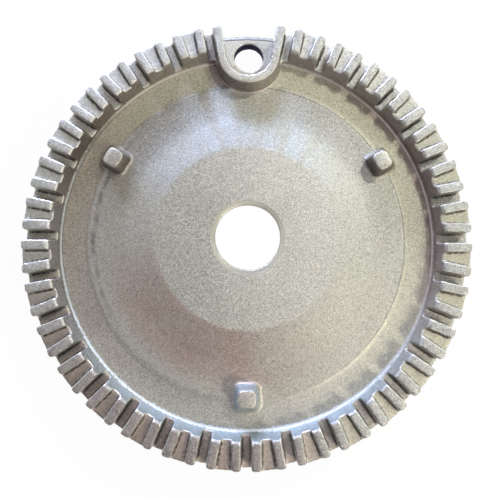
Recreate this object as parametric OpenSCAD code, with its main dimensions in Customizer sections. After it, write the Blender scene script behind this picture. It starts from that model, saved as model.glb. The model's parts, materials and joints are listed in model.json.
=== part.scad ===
// Die-cast gas burner head, seen from above as it sits on its burner cup.
// Gas and air rise through the throat, spread over the dish under a loose cap
// and burn at the slots round the rim. The cap is not part of this casting.

/* [Ring] */
// Outer diameter across the rib tips
head_d = 100; // [98:0.5:108]
// Diameter across the inner ends of the rib tops
rib_circle_d = 87.7; // [86:0.1:90]
// Lean of the ring's inner wall from upright, in degrees
wall_lean = 10; // [4:1:14]
// Fillet where the inner wall meets the dish
wall_fillet = 1.2; // [0.6:0.1:1.8]
// Thickness of the outer wall under the slots
rim_wall = 2.2; // [1.6:0.1:2.6]
// Chamfer along the ring's inner and outer edges
rim_edge = 0.4; // [0.35:0.05:0.6]
// Equal pitches round the ring, one of them taken by the electrode recess
pitches = 32; // [30:1:34]

/* [Slots and ribs] */
// Width of a slot between the rib tops
slot_w = 2.3; // [1.8:0.1:2.6]
// Depth of a slot below the rib tops
slot_depth = 3.3; // [2.6:0.1:3.6]
// Width of a rib at its top
rib_w = 2.1; // [1.6:0.1:2.3]
// Depth of the wedge between two ribs below their tops
land_depth = 1; // [0.6:0.1:1.6]
// Draft of the slot and rib sides, in degrees
draft = 2.6; // [0:0.2:4]
// Chamfer along the sides of the ribs
rib_edge = 0.25; // [0.1:0.05:0.3]

/* [Dish] */
// Depth of the dish floor below the rib tops
dish_depth = 4.2; // [4:0.1:4.8]
// Diameter of the crease where the floor meets the cone
crease_d = 72; // [68:0.5:76]
// Small step up at the crease
crease_step = 0.2; // [0.1:0.05:0.4]
// Diameter of the plateau round the throat
plateau_d = 42.6; // [36:0.2:50]
// Height of the plateau above the dish floor
plateau_rise = 1.8; // [1.2:0.1:2.4]
// Thickness of the dish plate
plate_t = 2.2; // [1.8:0.1:2.6]

/* [Throat] */
// Bore of the throat
throat_d = 15.6; // [13:0.2:18]
// Chamfer at the throat's upper edge
throat_lip = 0.5; // [0.2:0.1:0.9]
// Wall of the collar under the dish
collar_wall = 2.2; // [1.6:0.1:3]
// Length of the collar below the plate
collar_h = 4.4; // [3:0.1:6]

/* [Locating skirt] */
// Outer diameter of the skirt that drops into the burner cup
skirt_d = 78; // [76:0.2:79]
// Wall of the skirt
skirt_wall = 2; // [1.6:0.1:2.4]
// Reach of the skirt below the ring
skirt_drop = 4; // [3:0.1:6]
// Width of the ledge outside the skirt that rests on the cup's rim
ledge_w = 3; // [2:0.1:4]

/* [Electrode recess] */
// Distance of the recess's round end from the centre
recess_r = 42.5; // [42:0.1:43]
// Wall round the recess's end
recess_wall = 1.85; // [1.6:0.05:2.1]
// Angle by which each side of the recess opens outward
recess_flare = 9; // [7:0.5:10]
// Depth of the recess floor below the rib tops
recess_depth = 6.3; // [6:0.1:6.8]
// Thickness of the recess floor
flange_t = 3; // [2.4:0.1:4]
// Radius along the recess floor's outer edge
flange_edge = 1; // [0.6:0.1:1.4]
// Fillet where the recess wall meets the dish
recess_fillet = 0.8; // [0.4:0.1:1]
// Bore that takes the electrode's ceramic
electrode_d = 7; // [6:0.1:7.4]
// Distance of that bore from the centre
electrode_r = 44.4; // [44.2:0.1:44.8]

/* [Cap pegs] */
// Pegs that keep the cap centred
peg_count = 3; // [3:1:4]
// Distance of the pegs from the centre
peg_r = 35.1; // [34:0.1:36]
// Width of a peg's top across the head's radius
peg_w = 4.2; // [3.6:0.1:4.8]
// Length of a peg's top along the radius
peg_l = 3.8; // [3.2:0.1:4.4]
// Lean of a peg's side faces, in degrees
peg_side_lean = 8; // [4:1:12]
// Lean of a peg's inner and outer faces, in degrees
peg_end_lean = 13; // [6:1:15]
// Sloping foot round a peg
peg_foot = 0.5; // [0.3:0.1:0.8]

/* [Hidden] */
$fn = 96;
eps = 0.5; // how far a cutter reaches past the face that it cuts

head_r = head_d / 2;
pitch = 360 / pitches;

// Heights above the seat, built up from the skirt's lower edge
ring_z = skirt_drop;
recess_z = ring_z + flange_t;
rib_z = recess_z + recess_depth;
land_z = rib_z - land_depth;
slot_z = rib_z - slot_depth;
floor_z = rib_z - dish_depth;
crease_z = floor_z + crease_step;
plateau_z = floor_z + plateau_rise;
under_z = floor_z - plate_t;
crown_z = plateau_z - plate_t;
collar_z = crown_z - collar_h;

crease_r = crease_d / 2;
plateau_r = plateau_d / 2;
throat_r = throat_d / 2;
skirt_r = skirt_d / 2;

// Radius of the ring's inner wall at height z
function wall_r(z) = rib_circle_d / 2 - (rib_z - z) * tan(wall_lean);

// The inner wall's fillet touches the floor and the wall this far from their corner
fillet_reach = wall_fillet / tan((90 + wall_lean) / 2);
fillet_foot = [wall_r(floor_z) - fillet_reach, floor_z];
fillet_head = [wall_r(floor_z) + fillet_reach * sin(wall_lean), floor_z + fillet_reach * cos(wall_lean)];

// The sides of the recess run along the edges of the first slot on each hand
recess_out_r = recess_r * sin(pitch) - slot_w / 2;
recess_in_r = recess_out_r - recess_wall;

// A quarter-round corner of radius r, as the area to add in an inner corner at the origin
module corner(r) {
    difference() {
        translate([-eps, -eps]) square(r + eps);
        translate([r, r]) circle(r);
    }
}

// Half section of the casting from its axis outward
module casting_section() {
    difference() {
        polygon([
            [throat_r + throat_lip, plateau_z],
            [plateau_r, plateau_z],
            [crease_r, crease_z],
            [crease_r, floor_z],
            fillet_foot,
            fillet_head,
            [wall_r(rib_z - rim_edge), rib_z - rim_edge],
            [wall_r(rib_z) + rim_edge, rib_z],
            [head_r - rim_edge, rib_z],
            [head_r, rib_z - rim_edge],
            [head_r, ring_z + rim_edge],
            [head_r - rim_edge, ring_z],
            [head_r - rim_wall, ring_z],
            [head_r - rim_wall, under_z],
            [skirt_r + ledge_w, under_z],
            [skirt_r + ledge_w, ring_z],
            [skirt_r, ring_z],
            [skirt_r, 0],
            [skirt_r - skirt_wall, 0],
            [skirt_r - skirt_wall, under_z],
            [crease_r, under_z],
            [plateau_r, crown_z],
            [throat_r + collar_wall, crown_z],
            [throat_r + collar_wall, collar_z],
            [throat_r, collar_z],
            [throat_r, plateau_z - throat_lip]
        ]);
        translate(fillet_foot + [0, wall_fillet]) circle(wall_fillet);
    }
}

// Turns a profile drawn as [sideways, height] into a bar that runs outward along slot number k
module along_slot(k, from_r) {
    rotate([0, 0, -k * pitch])
        translate([0, from_r, 0])
            rotate([90, 0, 180])
                linear_extrude(head_r - from_r + 2 * eps) children();
}

// A tapered slot with its top edges broken
module slot_profile() {
    half = slot_w / 2;
    foot = half - slot_depth * tan(draft);
    brink = half - rib_edge * tan(draft);
    polygon([
        [-foot, slot_z],
        [foot, slot_z],
        [brink, rib_z - rib_edge],
        [half + rib_edge, rib_z],
        [half + rib_edge, rib_z + eps],
        [-half - rib_edge, rib_z + eps],
        [-half - rib_edge, rib_z],
        [-brink, rib_z - rib_edge]
    ]);
}

// All that lies above the land on one side of a slot, beyond the rib on that side
module land_profile(side) {
    edge = slot_w / 2 + rib_w;
    far = edge + head_r * sin(pitch);
    polygon([
        [side * (edge + land_depth * tan(draft)), land_z],
        [side * (edge + rib_edge * tan(draft)), rib_z - rib_edge],
        [side * (edge - rib_edge), rib_z],
        [side * (edge - rib_edge), rib_z + eps],
        [side * far, rib_z + eps],
        [side * far, land_z]
    ]);
}

// The flame slots, each with its own centre line through the head's axis
module slots() {
    inner_r = recess_r * cos(pitch);
    for (k = [1 : pitches - 1]) along_slot(k, inner_r) slot_profile();
}

// The shallow wedge that two neighbouring ribs leave between them
module lands() {
    inner_r = wall_r(floor_z) - 2 * fillet_reach;
    for (k = [1 : pitches - 2]) {
        intersection() {
            along_slot(k, inner_r) land_profile(-1);
            along_slot(k + 1, inner_r) land_profile(1);
        }
    }
}

// Outline of the recess: a round end of radius r whose sides open outward by the angle flare
module recess_outline(r, flare) {
    reach = head_r;
    foot_x = r * cos(flare);
    foot_y = -r * sin(flare);
    translate([0, recess_r]) {
        circle(r);
        polygon([
            [-foot_x, foot_y],
            [foot_x, foot_y],
            [foot_x + reach * tan(flare), foot_y + reach],
            [-foot_x - reach * tan(flare), foot_y + reach]
        ]);
    }
}

// Solid block under and round the recess, with the fillet at its foot in the dish
module recess_block() {
    intersection() {
        translate([0, 0, ring_z]) linear_extrude(rib_z - ring_z) recess_outline(recess_out_r, pitch);
        cylinder(r = (wall_r(rib_z) + head_r) / 2, h = rib_z);
    }
    translate([0, recess_r, floor_z])
        rotate([0, 0, 180 + pitch])
            rotate_extrude(angle = 180 - 2 * pitch)
                translate([recess_out_r, 0]) corner(recess_fillet);
}

// The recess itself, open at the top and outward, with its floor's outer edge rounded
module recess_pocket() {
    translate([0, 0, recess_z])
        linear_extrude(recess_depth + eps) recess_outline(recess_in_r, recess_flare);
    intersection() {
        translate([0, 0, recess_z - flange_edge])
            linear_extrude(flange_edge + eps) recess_outline(recess_in_r, recess_flare);
        rotate_extrude()
            translate([head_r, recess_z]) rotate([0, 0, 180]) corner(flange_edge);
    }
}

// A block whose sides lean inward, with its upright edges rounded
module tapered_block(w, l, h, side_lean, end_lean) {
    foot_w = w + 2 * h * tan(side_lean);
    foot_l = l + 2 * h * tan(end_lean);
    round_off = 0.86;
    intersection() {
        rotate([90, 0, 0])
            linear_extrude(2 * foot_l, center = true)
                polygon([[-foot_w / 2, 0], [foot_w / 2, 0], [w / 2, h], [-w / 2, h]]);
        rotate([90, 0, 90])
            linear_extrude(2 * foot_w, center = true)
                polygon([[-foot_l / 2, 0], [foot_l / 2, 0], [l / 2, h], [-l / 2, h]]);
        cylinder(r1 = round_off * norm([foot_w, foot_l]) / 2, r2 = round_off * norm([w, l]) / 2, h = h);
    }
}

// The pegs stand on the crease, their tops level with the ribs
module pegs() {
    foot_lean = 45;
    shank_w = peg_w + 2 * (rib_z - crease_z) * tan(peg_side_lean);
    shank_l = peg_l + 2 * (rib_z - crease_z) * tan(peg_end_lean);
    for (i = [0 : peg_count - 1]) {
        rotate([0, 0, -(i + 0.5) * 360 / peg_count]) translate([0, peg_r, 0]) {
            translate([0, 0, floor_z - eps])
                tapered_block(peg_w, peg_l, dish_depth + eps, peg_side_lean, peg_end_lean);
            translate([0, 0, floor_z - peg_foot])
                tapered_block(shank_w, shank_l, crease_step + 2 * peg_foot, foot_lean, foot_lean);
        }
    }
}

module burner_head() {
    color([0.62, 0.61, 0.56])
    difference() {
        union() {
            difference() {
                rotate_extrude() casting_section();
                lands();
            }
            recess_block();
            pegs();
        }
        slots();
        recess_pocket();
        translate([0, electrode_r, ring_z - eps]) cylinder(d = electrode_d, h = flange_t + 2 * eps);
    }
}

burner_head();
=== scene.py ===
import json
import math
import bmesh
import bpy
from mathutils import Matrix, Vector


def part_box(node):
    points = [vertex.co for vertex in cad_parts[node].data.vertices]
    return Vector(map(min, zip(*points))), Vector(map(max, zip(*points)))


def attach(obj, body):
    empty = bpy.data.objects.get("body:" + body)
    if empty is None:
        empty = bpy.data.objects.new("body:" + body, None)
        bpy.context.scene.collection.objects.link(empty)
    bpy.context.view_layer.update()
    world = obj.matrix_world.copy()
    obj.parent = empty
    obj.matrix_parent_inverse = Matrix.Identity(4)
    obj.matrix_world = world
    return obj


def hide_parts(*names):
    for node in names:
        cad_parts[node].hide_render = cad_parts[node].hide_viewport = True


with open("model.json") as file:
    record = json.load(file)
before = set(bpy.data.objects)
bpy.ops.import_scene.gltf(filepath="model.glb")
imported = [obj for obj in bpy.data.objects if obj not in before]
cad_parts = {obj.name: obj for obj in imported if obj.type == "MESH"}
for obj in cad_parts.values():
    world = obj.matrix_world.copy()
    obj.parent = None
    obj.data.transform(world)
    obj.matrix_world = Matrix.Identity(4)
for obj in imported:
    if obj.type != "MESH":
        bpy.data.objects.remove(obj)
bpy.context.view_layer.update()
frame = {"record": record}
mm = 0.001
headLow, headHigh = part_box("burner_head")
mounts = {mount["name"]: mount for mount in frame["record"]["mounts"]}
headRadius = headHigh.x / mm
ribTop = headHigh.z / mm
throatRadius = mounts["throat"]["dims"]["r_mm"]
skirtRadius = mounts["locating_skirt"]["dims"]["r_mm"]
skirtDrop = mounts["locating_skirt"]["dims"]["length_mm"]
electrodeRadius = mounts["electrode_bore"]["dims"]["r_mm"]
electrodeAt = mounts["electrode_bore"]["pos_m"][1] / mm
print("frame loaded: head", round(2 * headRadius, 2), "mm across,", round(ribTop, 2), "mm high")


# The photograph's viewpoint: a phone held close above the head and a little in front of it
camera = {
    "imageWidth": 494,
    "imageHeight": 500,
    "focalPixels": 483,
    "distance": 106.5,      # mm from the plane of the rib tops
    "tiltX": -0.1140,       # radians
    "tiltY": 0.0108,
    "roll": -0.0062,
    "objectRight": 0.74,    # pixels from the middle of the image
    "objectUp": 14.2,
}


def makeCamera(spec):
    made = bpy.data.objects.new("view_camera", bpy.data.cameras.new("view_camera"))
    bpy.context.scene.collection.objects.link(made)
    turn = (Matrix.Rotation(spec["tiltX"], 3, "X") @ Matrix.Rotation(spec["tiltY"], 3, "Y")
            @ Matrix.Rotation(spec["roll"], 3, "Z")).transposed()
    place = turn @ Vector((0, 0, spec["distance"])) + Vector((0, 0, ribTop))
    made.matrix_world = Matrix.Translation(place * mm) @ turn.to_4x4()
    longSide = max(spec["imageWidth"], spec["imageHeight"])
    made.data.sensor_width = 36
    made.data.lens = made.data.sensor_width * spec["focalPixels"] / longSide
    made.data.shift_x = -spec["objectRight"] / longSide
    made.data.shift_y = -spec["objectUp"] / longSide
    made.data.clip_start = 0.005
    made.data.clip_end = 20
    bpy.context.scene.camera = made
    return made


makeCamera(camera)
print("camera placed")


# Node helpers, used by the geometry trees and by the materials
def put(tree, kind, feeds=None, **settings):
    made = tree.nodes.new(kind)
    for name, value in settings.items():
        setattr(made, name, value)
    for key, value in (feeds or {}).items():
        feed(tree, made.inputs[key], value)
    return made


def feed(tree, socket, value):
    if isinstance(value, bpy.types.NodeSocket):
        tree.links.new(value, socket)
    elif value is not None:
        socket.default_value = value


def calc(tree, operation, *values):
    return put(tree, "ShaderNodeMath", dict(enumerate(values)), operation=operation).outputs[0]


def mapped(tree, value, fromLow, fromHigh, toLow=0.0, toHigh=1.0, smooth=True):
    kind = "SMOOTHSTEP" if smooth else "LINEAR"
    feeds = {"Value": value, "From Min": fromLow, "From Max": fromHigh, "To Min": toLow, "To Max": toHigh}
    return put(tree, "ShaderNodeMapRange", feeds, interpolation_type=kind).outputs["Result"]


def newTree(name, kind, inputs, outputs):
    tree = bpy.data.node_groups.new(name, kind)
    for label, socketType, value in inputs:
        socket = tree.interface.new_socket(label, in_out="INPUT", socket_type=socketType)
        if value is not None:
            socket.default_value = value
    for label, socketType in outputs:
        tree.interface.new_socket(label, in_out="OUTPUT", socket_type=socketType)
    return tree, tree.nodes.new("NodeGroupInput").outputs, tree.nodes.new("NodeGroupOutput").inputs


def addTree(piece, tree, values):
    modifier = piece.modifiers.new(tree.name, "NODES")
    modifier.node_group = tree
    for item in tree.interface.items_tree:
        if item.item_type == "SOCKET" and item.in_out == "INPUT" and item.name in values:
            modifier[item.identifier] = values[item.name]
    return modifier


# Mesh helpers
def pieceFrom(bm, name):
    bmesh.ops.remove_doubles(bm, verts=bm.verts, dist=1e-7)
    bmesh.ops.recalc_face_normals(bm, faces=bm.faces)
    mesh = bpy.data.meshes.new(name)
    bm.to_mesh(mesh)
    bm.free()
    made = bpy.data.objects.new(name, mesh)
    bpy.context.scene.collection.objects.link(made)
    return made


def settle(piece):
    # turns what the modifiers make into the piece's own plain mesh
    graph = bpy.context.evaluated_depsgraph_get()
    made = bpy.data.meshes.new_from_object(piece.evaluated_get(graph), preserve_all_data_layers=True,
                                           depsgraph=graph)
    piece.modifiers.clear()
    old = piece.data
    piece.data = made
    bpy.data.meshes.remove(old)
    return piece


def combine(piece, other, operation, solver="MANIFOLD"):
    modifier = piece.modifiers.new("combine", "BOOLEAN")
    modifier.operation = operation
    modifier.solver = solver
    modifier.object = other
    settle(piece)
    used = other.data
    bpy.data.objects.remove(other)
    bpy.data.meshes.remove(used)
    return piece


def arc(centre, radius, start, end, steps):
    # points on a circle from one angle to another, in degrees
    turns = [math.radians(start + (end - start) * i / steps) for i in range(steps + 1)]
    return [(centre[0] + radius * math.cos(t), centre[1] + radius * math.sin(t)) for t in turns]


def lathe(points, name, steps):
    # points are (radius, height) in mm
    bm = bmesh.new()
    verts = [bm.verts.new((r * mm, 0, z * mm)) for r, z in points]
    edges = [bm.edges.new((a, b)) for a, b in zip(verts, verts[1:] + verts[:1])]
    bmesh.ops.spin(bm, geom=verts + edges, cent=(0, 0, 0), axis=(0, 0, 1), angle=2 * math.pi,
                   steps=steps, use_merge=True, use_duplicate=False)
    return pieceFrom(bm, name)


def stack(rings, name):
    # rings are closed outlines of (x, y, z) in mm with equal counts, from the bottom up
    bm = bmesh.new()
    rows = [[bm.verts.new((x * mm, y * mm, z * mm)) for x, y, z in ring] for ring in rings]
    for low, high in zip(rows, rows[1:]):
        for i in range(len(low)):
            j = (i + 1) % len(low)
            bm.faces.new((low[i], low[j], high[j], high[i]))
    bm.faces.new(rows[0][::-1])
    bm.faces.new(rows[-1])
    return pieceFrom(bm, name)


# The casting, in mm
ring = {
    "ribCircle": 43.85,     # radius of the inner ends of the rib tops
    "wallLean": 15,         # degrees from upright
    "wallFillet": 0.5,
    "rimWall": 2.2,
    "rimEdge": 0.4,
    "pitches": 32,
    "slotWidth": 2.3,
    "slotDepth": 3.3,
    "ribWidth": 2.1,
    "landDepth": 1.0,
    "draft": 2.6,           # degrees
    "endRound": 0.8,        # corners of the ribs' outer ends, seen from above
}
dish = {
    "depth": 4.2,
    "creaseRadius": 36.0,
    "creaseStep": 0.2,
    "creaseRun": 0.9,       # mm over which the step runs out into the floor
    "plateauRadius": 21.3,
    "plateauRise": 1.8,
    "plateauBlend": 8.0,    # radius of the soft edge between plateau and cone
    "coneSag": 0.2,         # mm by which the cone is hollow, so that it is steeper by the plateau
    "plate": 2.2,
    "throatLip": 0.4,
    "throatNeck": 0.50,     # mm by which the lip reaches into the bore
    "throatSlope": 0.12,    # fall of the lip towards the neck
    "throatOpens": 0.45,    # mm by which the bore is wider at its lower end
    "collarWall": 2.2,
    "collarHeight": 4.4,
    "skirtWall": 2.0,
    "ledge": 3.0,
}
recess = {
    "centre": 42.5,
    "wall": 1.85,
    "flare": 9,             # degrees
    "depth": 6.3,
    "flange": 3.0,
    "flangeEdge": 1.0,
    "flangeDrop": 0.12,     # fall of the band along its edge
    "fillet": 0.8,
}
peg = {
    "count": 3,
    "centre": 35.1,
    "width": 4.2,
    "length": 3.8,
    "sideLean": 8,          # degrees
    "endLean": 13,
    "corner": 1.25,
    "crown": 0.4,           # rounding along the top's edges
    "foot": 0.6,
}

pitch = 360 / ring["pitches"]
ringZ = skirtDrop
recessZ = ringZ + recess["flange"]
landZ = ribTop - ring["landDepth"]
slotZ = ribTop - ring["slotDepth"]
floorZ = ribTop - dish["depth"]
creaseZ = floorZ + dish["creaseStep"]
plateauZ = floorZ + dish["plateauRise"]
underZ = floorZ - dish["plate"]
crownZ = plateauZ - dish["plate"]
collarZ = crownZ - dish["collarHeight"]
recessOuter = recess["centre"] * math.sin(math.radians(pitch)) - ring["slotWidth"] / 2
recessInner = recessOuter - recess["wall"]


def tangent(degrees):
    return math.tan(math.radians(degrees))


def wallRadius(z):
    return ring["ribCircle"] - (ribTop - z) * tangent(ring["wallLean"])


def castingSection():
    lean = ring["wallLean"]
    fillet = ring["wallFillet"]
    edge = ring["rimEdge"]
    reach = fillet / tangent((90 + lean) / 2)
    filletCentre = (wallRadius(floorZ) - reach, floorZ + fillet)
    blend = dish["plateauBlend"]
    coneWidth = dish["creaseRadius"] - dish["plateauRadius"]
    coneRise = plateauZ - creaseZ
    # the cone's slope changes evenly from its top to its foot
    slopes = [coneRise / coneWidth + side * 4 * dish["coneSag"] / coneWidth for side in (1, -1)]
    steepest = math.degrees(math.atan(slopes[0]))
    blendReach = blend * tangent(steepest / 2)
    blendCentre = (dish["plateauRadius"] - blendReach, plateauZ - blend)
    coneSteps = [i / 16 for i in range(2, 17)]
    cone = [(dish["plateauRadius"] + share * coneWidth,
             plateauZ - coneWidth * (slopes[0] * share + (slopes[1] - slopes[0]) * share ** 2 / 2))
            for share in coneSteps]
    return [
        (throatRadius + dish["throatLip"], plateauZ),
        *arc(blendCentre, blend, 90, 90 - steepest, 5),
        *cone,
        (dish["creaseRadius"] + dish["creaseRun"], floorZ),
        *arc(filletCentre, fillet, -90, -lean, 6),
        (wallRadius(ribTop - edge), ribTop - edge),
        (wallRadius(ribTop) + edge, ribTop),
        (headRadius - edge, ribTop),
        (headRadius, ribTop - edge),
        (headRadius, ringZ + edge),
        (headRadius - edge, ringZ),
        (headRadius - ring["rimWall"], ringZ),
        (headRadius - ring["rimWall"], underZ),
        (skirtRadius + dish["ledge"], underZ),
        (skirtRadius + dish["ledge"], ringZ),
        (skirtRadius, ringZ),
        (skirtRadius, 0),
        (skirtRadius - dish["skirtWall"], 0),
        (skirtRadius - dish["skirtWall"], underZ),
        (dish["creaseRadius"], underZ),
        (dish["plateauRadius"], crownZ),
        (throatRadius + dish["collarWall"], crownZ),
        (throatRadius + dish["collarWall"], collarZ),
        (throatRadius + dish["throatOpens"], collarZ),
        (throatRadius + 0.1, plateauZ - 1.7),
        (throatRadius - dish["throatNeck"], plateauZ - 0.9),
        (throatRadius - dish["throatNeck"], plateauZ - 2 * dish["throatSlope"]),
        (throatRadius + dish["throatLip"] - 0.1, plateauZ - dish["throatSlope"]),
    ]


def recessOutline(radius, flare, z, endRound=0.0):
    # a round end whose sides open outward by the angle flare, and by a quarter circle at the rim
    end = arc((0, recess["centre"]), radius, 180 + flare, 360 - flare, 32)
    startX, startY = end[-1]
    rimY = math.sqrt(headRadius ** 2 - (startX + (headRadius - startY) * tangent(flare)) ** 2)
    turns = [math.radians(15 * i) for i in range(7)] if endRound else []
    side = [(endRound * (1 - math.cos(t)), rimY - endRound * (1 - math.sin(t))) for t in turns]
    side += [(endRound, headRadius * 1.3)]
    right = [(startX + (y - startY) * tangent(flare) + out, y) for out, y in side]
    left = [(-x, y) for x, y in right[::-1]]
    return [(x, y, z) for x, y in [*end, *right, *left]]


def makeRecessBlock():
    # wall and floor of the electrode recess, with a fillet where it stands in the dish
    fillet = recess["fillet"]
    skirt = [(fillet - fillet * math.cos(math.radians(a)), fillet - fillet * math.sin(math.radians(a)))
             for a in (90, 67, 45, 22, 0)]
    rings = [recessOutline(recessOuter, pitch, ringZ)]
    rings += [recessOutline(recessOuter, pitch, floorZ - 0.01)]
    rings += [recessOutline(recessOuter + fillet - side, pitch, floorZ + up) for side, up in skirt]
    rings += [recessOutline(recessOuter, pitch, ribTop)]
    block = stack(rings, "recess_block")
    reach = headRadius - ring["rimWall"] / 2
    limit = lathe([(0, 0), (reach, 0), (reach, ribTop), (0, ribTop)], "recess_limit", 192)
    return combine(block, limit, "INTERSECT")


def makePocket():
    above = 1.0
    pocket = stack([recessOutline(recessInner, recess["flare"], z, ring["endRound"])
                    for z in (recessZ, ribTop + above)], "pocket")
    lip = stack([recessOutline(recessInner, recess["flare"], recessZ - recess["flangeEdge"]),
                 recessOutline(recessInner, recess["flare"], recessZ + above)], "pocket_lip")
    edge = recess["flangeEdge"]
    corner = lathe([(headRadius + above, recessZ - edge - above), (headRadius + above, recessZ + above / 2),
                    (headRadius - edge - above / 2, recessZ + above / 2),
                    (headRadius - edge, recessZ), (headRadius - 0.15, recessZ - recess["flangeDrop"]),
                    (headRadius, recessZ - recess["flangeDrop"] - 0.15),
                    (headRadius, recessZ - edge - above)], "flange_corner", 256)
    combine(lip, corner, "INTERSECT")
    bore = lathe([(0, ringZ - above), (electrodeRadius, ringZ - above), (electrodeRadius, recessZ + above),
                  (0, recessZ + above)], "bore", 96)
    bore.data.transform(Matrix.Translation((0, electrodeAt * mm, 0)))
    return [pocket, lip, bore]


def roundedRing(width, length, corner, z):
    points = []
    for sideX, sideY, start in ((1, 1, 0), (-1, 1, 90), (-1, -1, 180), (1, -1, 270)):
        centre = (sideX * (width / 2 - corner), sideY * (length / 2 - corner))
        points += arc(centre, corner, start, start + 90, 5)
    return [(x, y, z) for x, y in points]


def makePeg(index):
    # a tapered block whose top is level with the ribs, with a sloping foot in the dish
    rise = ribTop - creaseZ
    grow = [2 * tangent(peg["sideLean"]), 2 * tangent(peg["endLean"])]
    crown = peg["crown"]
    levels = [(creaseZ - 3 * peg["foot"], 6 * peg["foot"]), (creaseZ, 2 * peg["foot"]),
              (creaseZ + peg["foot"], 0.15), (creaseZ + 2 * peg["foot"], 0)]
    rings = []
    for z, flare in levels:
        down = ribTop - max(z, creaseZ)
        rings.append(roundedRing(peg["width"] + down * grow[0] + flare, peg["length"] + down * grow[1] + flare,
                                 peg["corner"] + flare / 2, z))
    for down, inset in ((crown, 0), (crown * 0.3, crown * 0.4), (0, crown * 1.3)):
        rings.append(roundedRing(peg["width"] + down * grow[0] - inset, peg["length"] + down * grow[1] - inset,
                                 peg["corner"], ribTop - down))
    made = stack(rings, "peg")
    turn = -math.radians((index + 0.5) * 360 / peg["count"])
    made.data.transform(Matrix.Rotation(turn, 4, "Z") @ Matrix.Translation((0, peg["centre"] * mm, 0)))
    return made


def cutterBar(tree, group, halfWidth, depth, startY, endY):
    # a tapered bar that lies along +Y, from its floor to just above the rib tops
    above = 0.001
    floor = calc(tree, "SUBTRACT", group["Rib Top"], depth)
    height = calc(tree, "ADD", depth, above)
    length = calc(tree, "SUBTRACT", endY, startY)
    size = put(tree, "ShaderNodeCombineXYZ", {0: 0.002, 1: length, 2: height}).outputs[0]
    cube = put(tree, "GeometryNodeMeshCube", {"Size": size, "Vertices X": 3, "Vertices Y": 80, "Vertices Z": 6})
    position = put(tree, "ShaderNodeSeparateXYZ", {0: put(tree, "GeometryNodeInputPosition").outputs[0]}).outputs
    y = calc(tree, "ADD", position[1], calc(tree, "MULTIPLY_ADD", length, 0.5, startY))
    z = calc(tree, "ADD", position[2], calc(tree, "MULTIPLY_ADD", height, 0.5, floor))
    below = calc(tree, "SUBTRACT", group["Rib Top"], z)
    taper = calc(tree, "MULTIPLY", below, calc(tree, "TANGENT", group["Draft"]))
    # the cut widens in a quarter circle at the rim, which rounds the ends of the ribs
    corner = group["End Round"]
    intoEnd = calc(tree, "SUBTRACT", y, calc(tree, "SUBTRACT", group["Head Radius"], corner))
    along = put(tree, "ShaderNodeClamp", {"Value": intoEnd, "Min": 0.0, "Max": corner}).outputs[0]
    rest = calc(tree, "SUBTRACT", calc(tree, "MULTIPLY", corner, corner), calc(tree, "MULTIPLY", along, along))
    flare = calc(tree, "SUBTRACT", corner, calc(tree, "SQRT", rest))
    half = calc(tree, "ADD", calc(tree, "SUBTRACT", halfWidth(y), taper), flare)
    x = calc(tree, "MULTIPLY", calc(tree, "DIVIDE", position[0], 0.001), half)
    place = put(tree, "ShaderNodeCombineXYZ", {0: x, 1: y, 2: z}).outputs[0]
    return put(tree, "GeometryNodeSetPosition", {"Geometry": cube.outputs["Mesh"], "Position": place}).outputs[0]


def roundTheRing(tree, group, bar, count, firstStep, seedShift):
    # copies of a bar round the axis, each a little out of true as cast ones are
    points = put(tree, "GeometryNodePoints", {"Count": count}).outputs[0]
    index = put(tree, "GeometryNodeInputIndex").outputs[0]
    step = calc(tree, "DIVIDE", 2 * math.pi, group["Pitches"])
    turn = calc(tree, "MULTIPLY", calc(tree, "MULTIPLY", calc(tree, "ADD", index, firstStep), step), -1.0)
    seed = calc(tree, "ADD", group["Seed"], seedShift)
    shake = put(tree, "FunctionNodeRandomValue", {"Seed": seed}, data_type="FLOAT_VECTOR")
    shake.inputs[0].default_value = (-1, -1, -1)
    shake.inputs[1].default_value = (1, 1, 1)
    part = put(tree, "ShaderNodeSeparateXYZ", {0: shake.outputs[0]}).outputs
    lean = calc(tree, "MULTIPLY", part[0], calc(tree, "DIVIDE", group["Wander"], group["Head Radius"]))
    turned = calc(tree, "ADD", turn, lean)
    spin = put(tree, "ShaderNodeCombineXYZ", {2: turned}).outputs[0]
    lift = put(tree, "ShaderNodeCombineXYZ", {2: calc(tree, "MULTIPLY", part[1], group["Wander"])}).outputs[0]
    wide = calc(tree, "MULTIPLY_ADD", part[2], 0.05, 1.0)
    scale = put(tree, "ShaderNodeCombineXYZ", {0: wide, 1: 1.0, 2: 1.0}).outputs[0]
    raised = put(tree, "GeometryNodeSetPosition", {"Geometry": points, "Offset": lift}).outputs[0]
    return put(tree, "GeometryNodeInstanceOnPoints",
               {"Points": raised, "Instance": bar, "Rotation": spin, "Scale": scale}).outputs[0]


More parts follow.
